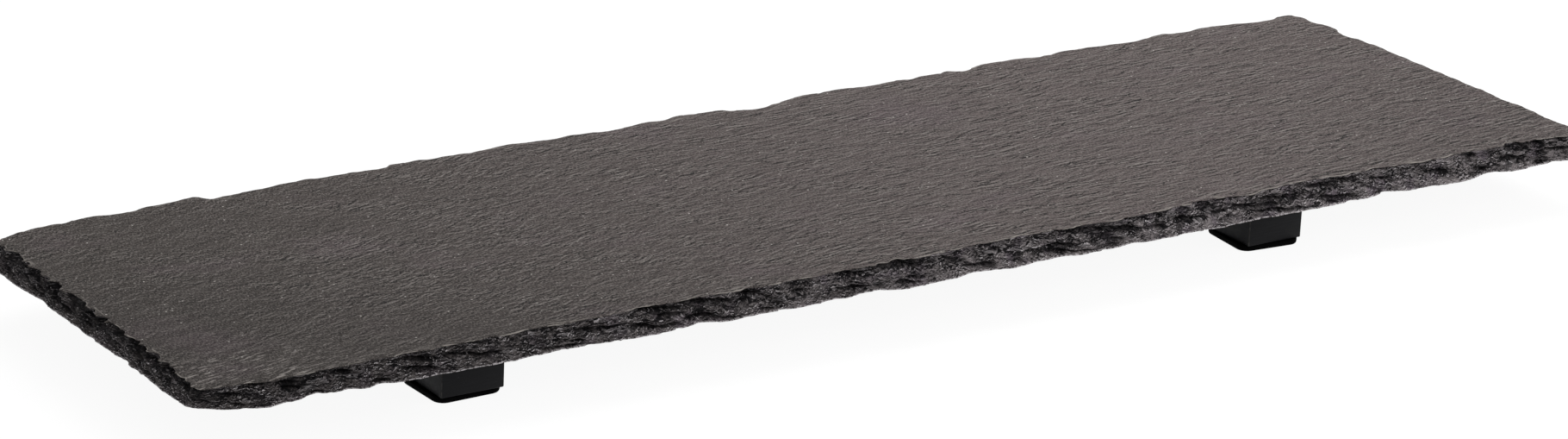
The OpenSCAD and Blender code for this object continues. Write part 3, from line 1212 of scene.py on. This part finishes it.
    def chips(self, group: NodeGroup, run: Field, leant: Field, warp: Field) -> Field:
        """How deep the edge is chipped, in cells that each turn and lean their own way.

        Args:
            group: The tree.
            run: Way round the slab.
            leant: Height along the leaning layers.
            warp: How far the cells are pushed about.

        Returns:
            The depth in metres.
        """
        g, take = group.graph, group.input
        place = g.vector(run / take("Chip length") + warp, leant / take("Chip height") + warp,
                         take("Seed"))
        _, lots, middle = g.cells(place)
        beside, above, _ = g.parts(g.combined("SUBTRACT", place, middle))
        lot, side, _ = g.parts(lots)
        turn = (side - 0.5) * beside * self.CHIP_TURN
        depth = lot * self.CHIP_LOT + turn + above * self.CHIP_LEAN + self.CHIP_BASE
        return g.clamp(depth) * take("Chip depth")

    def nicks(self, group: NodeGroup, run: Field, rise: Field, warp: Field) -> Field:
        """How deep nicks bite into the top of the edge, most of all on the left end.

        Args:
            group: The tree.
            run: Way round the slab.
            rise: Height on the edge, from 0 at its foot to 1 at the top face.
            warp: How far the nicks are pushed about.

        Returns:
            The depth in metres.
        """
        g, take = group.graph, group.input
        sideways, backward, _ = g.parts(self.attribute(g, "outward", "FLOAT_VECTOR"))
        left = g.ramp(sideways, *self.LEFT_SIDE)
        places = run / take("Nick length") + warp * self.NICK_WARP
        place = g.math("FLOOR", places)
        chance = g.sheet(place * self.SHUFFLE, take("Seed"), self.NICK_SEED, detail=1.0)
        across = (places - place) * 2.0 - 1.0
        bite = g.clamp(1.0 - across * across) * g.ramp(rise, *self.NICK_RISE)
        often = g.ramp(chance, left * self.LEFT_CHANCE_SHIFT.low + self.NICK_CHANCE.low,
                       left * self.LEFT_CHANCE_SHIFT.high + self.NICK_CHANCE.high)
        return (bite * often * take("Nick depth") * (left * self.LEFT_DEPTH + chance)
                * g.ramp(backward, *self.BACK_SIDE))

    def face_height(self, group: NodeGroup) -> Field:
        """How far the riven faces rise or sink.

        Args:
            group: The tree.

        Returns:
            The height in metres.
        """
        g, take = group.graph, group.input
        x, y, _ = g.parts(g.output(g.node("GeometryNodeInputPosition")))
        drift = g.sheet(x / take("Drift length"), y / take("Drift width"), detail=1.0)
        line = y / take("Riven width") + drift * self.DRIFT_LINES
        waves = g.sheet(x / take("Riven length"), line, take("Seed"))
        swell = g.sheet(x / take("Swell length"), y / take("Swell width"), take("Seed"),
                        detail=1.0)
        return ((waves - self.RIVEN_LEVEL) * take("Riven depth")
                + (swell - self.SWELL_LEVEL) * take("Swell depth"))


@dataclass
class SlateSlab:
    """The plank of slate: a finely meshed band round the CAD outline and two riven faces."""

    rows: int = 28
    arris: float = 0.22 * MM
    arris_ring: float = 0.35
    row_smoothing: float = 0.8 * MM
    grid_along: float = 3.2 * MM
    grid_across: float = 1.0 * MM
    under_grid: float = 6 * MM
    rim: float = 0.55 * MM
    fade: float = 5 * MM
    corner_fill: float = 1.9 * MM
    corner_place: float = 2.4 * MM
    corner_reach: float = 3.2 * MM
    sharp_angle: float = 38.0
    edge: DressedEdge = field(default_factory=DressedEdge)

    def __post_init__(self) -> None:
        """Reads the CAD edge."""
        self.survey = EdgeSurvey()
        self.places: list[tuple[float, float, float]] = []
        self.faces: list[list[int]] = []
        self.marks: dict[str, list] = {"run": [], "rise": [], "hold": [], "outward": []}

    def add_points(self, places: np.ndarray, rise: float, run: np.ndarray, outward: np.ndarray,
                   hold: np.ndarray) -> None:
        """Adds vertices with what the geometry nodes and the finish need to know of them.

        Args:
            places: Where they are.
            rise: Their height on the edge, from 0 at its foot to 1 at the top face.
            run: Way round the slab of each.
            outward: Outward direction of the edge at each.
            hold: How far the edge moves each, from 1 at the edge to 0.
        """
        self.places.extend(map(tuple, places.tolist()))
        self.marks["run"].extend(run)
        self.marks["rise"].extend([rise] * len(places))
        self.marks["outward"].extend((*pair, 0.0) for pair in outward)
        self.marks["hold"].extend(hold)

    def band(self) -> tuple[np.ndarray, np.ndarray]:
        """Adds the rings of the edge, from its foot to the top face.

        Returns:
            The lowest and the highest ring, one row a station.
        """
        survey = self.survey
        rims = np.array([0.0, self.arris_ring]) * self.arris
        inner = np.linspace(survey.low + self.arris, survey.high - self.arris, self.rows)
        heights = np.concatenate([survey.low + rims, inner, survey.high - rims[::-1]])
        gap = survey.run[1]
        insets = smoothed(survey.insets(heights), self.row_smoothing / gap)
        corner = survey.run[survey.foot.sum(1).argmin()] + self.corner_place
        fill = self.corner_fill * np.exp(-((survey.run - corner) / self.corner_reach) ** 2)
        count = len(survey.foot)
        rings = []
        for height, inset in zip(heights, insets):
            rise = (height - survey.low) / (survey.high - survey.low)
            near = min(height - survey.low, survey.high - height, self.arris)
            away = self.arris - near
            rounding = self.arris - math.sqrt(self.arris ** 2 - away ** 2)
            ring = survey.foot - survey.outward * (inset + rounding - fill * rise)[:, None]
            self.add_points(np.column_stack([ring, np.full(count, height)]), rise, survey.run,
                            survey.outward, np.ones(count))
            rings.append(ring)
        for row in range(len(heights) - 1):
            for here in range(count):
                there = (here + 1) % count
                self.faces.append([row * count + here, row * count + there,
                                   (row + 1) * count + there, (row + 1) * count + here])
        return rings[0], rings[-1]

    def cap(self, ring: np.ndarray, first: int, steps: tuple[float, float], upper: bool) -> None:
        """Fills a ring with a triangle grid.

        Args:
            ring: Its points.
            first: Number of its first vertex.
            steps: Spacing of the grid along and across the plank.
            upper: Whether this is the top face.
        """
        survey = self.survey
        level = survey.high if upper else survey.low
        near = KDTree(len(ring))
        for number, point in enumerate(ring):
            near.insert((*point, 0.0), number)
        near.balance()
        low, high = ring.min(0), ring.max(0)
        lines = [np.arange(low[axis] + steps[axis] / 2, high[axis], steps[axis]) for axis in (0, 1)]
        inside, stations, holds = [], [], []
        for row, y in enumerate(lines[1]):
            for x in lines[0] + steps[0] * 0.5 * (row % 2):
                point, station, distance = near.find((x, y, 0.0))
                if (Vector((x, y)) - point.xy).dot(survey.outward[station]) < -self.rim:
                    inside.append((x, y))
                    stations.append(station)
                    holds.append(max(0.0, 1 - distance / self.fade) ** 2)
        count = len(ring)
        flat = [Vector(p) for p in ring] + [Vector(p) for p in inside]
        _, _, triangles, origins, _, _ = delaunay_2d_cdt(flat, [], [list(range(count))],
                                                       INSIDE_ONLY, TINY)
        offset = len(self.places)
        number = [first + o[0] if o[0] < count else offset + o[0] - count for o in origins]
        places = np.column_stack([np.array(inside), np.full(len(inside), level)])
        self.add_points(places, 1.0 if upper else 0.0, survey.run[stations],
                        survey.outward[stations], np.array(holds))
        for triangle in triangles:
            face = [number[corner] for corner in triangle]
            self.faces.append(face if upper else face[::-1])

    def build(self, material: bpy.types.Material) -> None:
        """Makes the slab and hands it over.

        Args:
            material: Its finish.
        """
        foot, top = self.band()
        self.cap(top, len(self.places) - len(top), (self.grid_along, self.grid_across), True)
        self.cap(foot, 0, (self.under_grid, self.under_grid), False)
        mesh = bpy.data.meshes.new("slate_plank")
        mesh.from_pydata(self.places, [], self.faces)
        for name, values in self.marks.items():
            kind = "FLOAT_VECTOR" if name == "outward" else "FLOAT"
            key = "vector" if name == "outward" else "value"
            made = mesh.attributes.new(name, kind, "POINT")
            made.data.foreach_set(key, np.asarray(values, np.float32).ravel())
        piece = add_piece("slate_plank", mesh, material)
        self.break_edge(piece, material)
        piece.data.shade_smooth()
        piece.data.set_sharp_from_angle(angle=math.radians(self.sharp_angle))
        hand_over(piece, Slot.SLATE, self.survey.node)

    def break_edge(self, piece: bpy.types.Object, material: bpy.types.Material) -> None:
        """Runs the geometry nodes on the slab and keeps what they make.

        Args:
            piece: The slab.
            material: Its finish.
        """
        group = self.edge.build()
        modifier = piece.modifiers.new("dressed edge", "NODES")
        modifier.node_group = group.tree
        modifier[group.identifier("Stone")] = material
        for name, value in self.edge.inputs().items():
            modifier[group.identifier(name)] = value
        bake(piece)


@dataclass
class FootBlock:
    """A moulded foot block: drafted sides with softly broken edges."""

    draft: float = 0.05 * MM
    edge_radius: float = 0.4 * MM
    rubbed_share: float = 0.7
    segments: int = 3
    roundness: float = 0.5
    sharp_angle: float = 30.0

    def build(self, foot: Foot, material: bpy.types.Material) -> None:
        """Makes one block over its CAD node.

        Args:
            foot: Which foot it belongs to.
            material: Its finish.
        """
        node = f"{foot.value}_block"
        low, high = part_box(node)
        rings = []
        for z, inset in ((low.z, self.draft), (high.z, 0.0)):
            left, right = low.x + inset, high.x - inset
            front, back = low.y + inset, high.y - inset
            rings.append([(left, front, z), (right, front, z), (right, back, z), (left, back, z)])
        made = ring_solid(rings)
        bmesh.ops.bevel(made, geom=made.edges[:], offset=self.edge_radius, segments=self.segments,
                        profile=self.roundness, affect="EDGES")
        # Marks the rounded upright corners, which the finish paints pale, for wear and as painted
        # highlight.
        rubbed = made.verts.layers.float.new("rubbed")
        for vert in made.verts:
            away = max(min(vert.co[axis] - low[axis], high[axis] - vert.co[axis]) for axis in (0, 1))
            vert[rubbed] = float(away < self.edge_radius * self.rubbed_share)
        piece = add_solid(f"{foot.value}_moulded_block", made, self.sharp_angle, material)
        hand_over(piece, Slot.BLOCK, node)


@dataclass
class RoundedPad:
    """A square pad with round corners, laid over a CAD node at that node's turn."""

    corner: float
    lower_edge: float
    upper_edge: float
    bulge: float
    corner_steps: int = 14
    edge_steps: int = 6
    widest_turn: float = 8.0
    turn_step: float = 0.05
    sharp_angle: float = 50.0

    def square(self, node: str) -> tuple[Vector, float, float]:
        """Middle, side and turn of a node's square.

        Args:
            node: The CAD node.

        Returns:
            Its middle on the ground plane, its side and its turn in radians.
        """
        flat = np.array([v.co.xy[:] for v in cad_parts[node].data.vertices])
        best = (math.inf, 0.0, None, None)
        for degrees in np.arange(-self.widest_turn, self.widest_turn, self.turn_step):
            turn = math.radians(degrees)
            spin = np.array([[math.cos(turn), -math.sin(turn)], [math.sin(turn), math.cos(turn)]])
            turned = flat @ spin
            span = turned.max(0) - turned.min(0)
            if span.sum() < best[0] - TINY:
                best = (span.sum(), turn, (turned.max(0) + turned.min(0)) / 2 @ spin.T, span)
        return Vector(best[2]), float(best[3].mean()), best[1]

    def outline(self, side: float, corner: float) -> list[tuple[float, float]]:
        """Points of a rounded square about the origin.

        Args:
            side: Its side.
            corner: Radius of its corners.

        Returns:
            The points, anticlockwise.
        """
        points = []
        centre = side / 2 - corner
        for quarter, (right, back) in enumerate(((1, 1), (-1, 1), (-1, -1), (1, -1))):
            for step in range(self.corner_steps + 1):
                angle = math.pi / 2 * (quarter + step / self.corner_steps)
                points.append((right * centre + corner * math.cos(angle),
                               back * centre + corner * math.sin(angle)))
        return points

    def levels(self, low: float, high: float) -> list[tuple[float, float]]:
        """Rings of the pad's side.

        Args:
            low: Height of its underside.
            high: Height of its top.

        Returns:
            Height and inset of each ring, from the lowest.
        """
        turns = np.linspace(0.0, math.pi / 2, self.edge_steps + 1)
        rims = []
        for end, way, radius in ((low, 1, self.lower_edge), (high, -1, self.upper_edge)):
            rims.append([(end + way * radius * (1 - math.cos(turn)),
                          radius * (1 - math.sin(turn)) + self.bulge) for turn in turns])
        lower, upper = rims
        middle = (lower[-1][0] + upper[-1][0]) / 2
        return [*lower, (middle, 0.0), *upper[::-1]]

    def build(self, node: str, name: str, slot: Slot, material: bpy.types.Material) -> None:
        """Makes the pad over its CAD node.

        Args:
            node: The CAD node.
            name: Name of the piece.
            slot: Its material slot.
            material: Its finish.
        """
        low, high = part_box(node)
        middle, side, turn = self.square(node)
        place = Matrix.Translation((*middle, 0.0)) @ Matrix.Rotation(turn, 4, "Z")
        rings = [[place @ Vector((x, y, z))
                  for x, y in self.outline(side - 2 * inset, self.corner - inset)]
                 for z, inset in self.levels(low.z, high.z)]
        hand_over(add_solid(name, ring_solid(rings), self.sharp_angle, material), slot, node)


@dataclass
class RubberPad(RoundedPad):
    """The rubber shoe under a block, rounder below than above."""

    corner: float = 4.0 * MM
    lower_edge: float = 0.8 * MM
    upper_edge: float = 0.2 * MM
    bulge: float = 0.05 * MM


@dataclass
class FoamBond(RoundedPad):
    """The foam that bonds a block to the slate, swollen a little at its middle."""

    corner: float = 0.6 * MM
    lower_edge: float = 0.15 * MM
    upper_edge: float = 0.15 * MM
    bulge: float = 0.12 * MM


@dataclass(frozen=True)
class Lamp:
    """A square soft lamp: its name, where it hangs, its side in metres and its power in watts."""

    name: str
    place: tuple[float, float, float]
    side: float
    power: float

    def hang(self) -> None:
        """Hangs the lamp, turned to the board."""
        data = bpy.data.lights.new(self.name, "AREA")
        data.size = self.side
        data.energy = self.power
        lamp = bpy.data.objects.new(self.name, data)
        lamp.location = self.place
        lamp.rotation_euler = (-Vector(self.place)).to_track_quat("-Z", "Y").to_euler()
        bpy.context.scene.collection.objects.link(lamp)


@dataclass
class Studio:
    """White floor, soft lamps and the camera, whose angles are in degrees."""

    floor_radius: float = 6.0
    floor_sides: int = 64
    floor_drop: float = 0.02 * MM
    floor_colour: Colour = (0.8, 0.8, 0.8)
    floor_glow: float = 0.925
    floor_share: float = 0.17
    world_level: float = 0.36
    key: Lamp = Lamp("key lamp", place=(0.75, 0.75, 1.3), side=1.2, power=17.0)
    fill: Lamp = Lamp("fill lamp", place=(0.9, -1.3, 0.8), side=1.0, power=8.0)
    azimuth: float = -33.761
    elevation: float = 19.48
    roll: float = 2.341
    distance: float = 1.692785
    aim_right: float = 10.939 * MM
    aim_up: float = 5.333 * MM
    lens: float = 118.66
    sensor: float = 36.0

    def seen_directly(self, g: Graph) -> Field:
        """Which rays show the background: those of the camera, of gloss and of glass.

        Args:
            g: A material's or the world's node tree.

        Returns:
            1 for such rays and 0 for others.
        """
        path = g.node("ShaderNodeLightPath")
        seen = g.math("MAXIMUM", g.output(path, "Is Camera Ray"), g.output(path, "Is Glossy Ray"))
        return g.math("MAXIMUM", seen, g.output(path, "Is Transmission Ray"))

    def floor(self) -> None:
        """Lays a pale floor that shows white and keeps the board's shadow."""
        made = bmesh.new()
        bmesh.ops.create_circle(made, cap_ends=True, segments=self.floor_sides,
                                radius=self.floor_radius,
                                matrix=Matrix.Translation((0.0, 0.0, -self.floor_drop)))
        mesh = bpy.data.meshes.new("floor")
        made.to_mesh(mesh)
        material = bpy.data.materials.new("pale floor")
        material.use_nodes = True
        g = Graph(material.node_tree)
        matt = g.node("ShaderNodeBsdfDiffuse", {"Color": self.floor_colour})
        dim = g.node("ShaderNodeBsdfDiffuse", {
            "Color": tuple(c * self.floor_share for c in self.floor_colour)})
        glow = g.node("ShaderNodeEmission", {"Color": WHITE, "Strength": self.floor_glow})
        shown = g.node("ShaderNodeAddShader", {0: g.output(dim), 1: g.output(glow)})
        blend = g.node("ShaderNodeMixShader", {0: self.seen_directly(g), 1: g.output(matt),
                                               2: g.output(shown)})
        g.node("ShaderNodeOutputMaterial", {"Surface": g.output(blend)})
        piece = add_piece("floor", mesh, material)

    def world(self) -> None:
        """Lights the scene evenly, and shows white where no floor lies behind."""
        world = bpy.data.worlds.new("white studio")
        world.use_nodes = True
        g = Graph(world.node_tree)
        light = g.node("ShaderNodeBackground", {"Color": WHITE, "Strength": self.world_level})
        white = g.node("ShaderNodeBackground", {"Color": WHITE, "Strength": 1.0})
        blend = g.node("ShaderNodeMixShader", {0: self.seen_directly(g), 1: g.output(light),
                                               2: g.output(white)})
        g.node("ShaderNodeOutputWorld", {"Surface": g.output(blend)})
        bpy.context.scene.world = world

    def camera(self) -> None:
        """Stands the camera where the photograph's stood, aimed at the slate's underside."""
        across, up_angle, lean = map(math.radians, (self.azimuth, self.elevation, self.roll))
        back = Vector((math.sin(across) * math.cos(up_angle), -math.cos(across) * math.cos(up_angle),
                       math.sin(up_angle)))
        right = Vector((math.cos(across), math.sin(across), 0.0))
        up = back.cross(right)
        leant_right = right * math.cos(lean) + up * math.sin(lean)
        leant_up = up * math.cos(lean) - right * math.sin(lean)
        data = bpy.data.cameras.new("camera")
        data.sensor_width = self.sensor
        data.lens = self.lens
        camera = bpy.data.objects.new("camera", data)
        turned = Matrix((leant_right, leant_up, back)).transposed()
        aim = Vector((0.0, 0.0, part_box("slate_slab")[0].z))
        place = aim + back * self.distance - leant_right * self.aim_right - leant_up * self.aim_up
        camera.matrix_world = Matrix.Translation(place) @ turned.to_4x4()
        bpy.context.scene.collection.objects.link(camera)
        bpy.context.scene.camera = camera

    def build(self) -> None:
        """Sets up the whole studio."""
        self.floor()
        self.world()
        self.key.hang()
        self.fill.hang()
        self.camera()
        bpy.context.scene.view_settings.view_transform = "Standard"
        log.info("studio: floor, world, lamps and camera")


def main() -> None:
    """Builds every piece of the board and the studio round it."""
    logging.basicConfig(level=logging.INFO, format="%(message)s")
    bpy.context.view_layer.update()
    effects = Effects()
    slate = SlateFinish().build(effects)
    plastic = PLASTIC.build(effects)
    rubber = RUBBER.build(effects)
    foam = FOAM.build(effects)
    SlateSlab().build(slate)
    block = FootBlock()
    pad = RubberPad()
    bond = FoamBond()
    for foot in Foot:
        block.build(foot, plastic)
        pad.build(f"{foot.value}_pad", f"{foot.value}_rubber_shoe", Slot.PAD, rubber)
        bond.build(f"{foot.value}_bond", f"{foot.value}_foam_bond", Slot.BOND, foam)
    Studio().build()


if __name__ == "__main__":
    main()
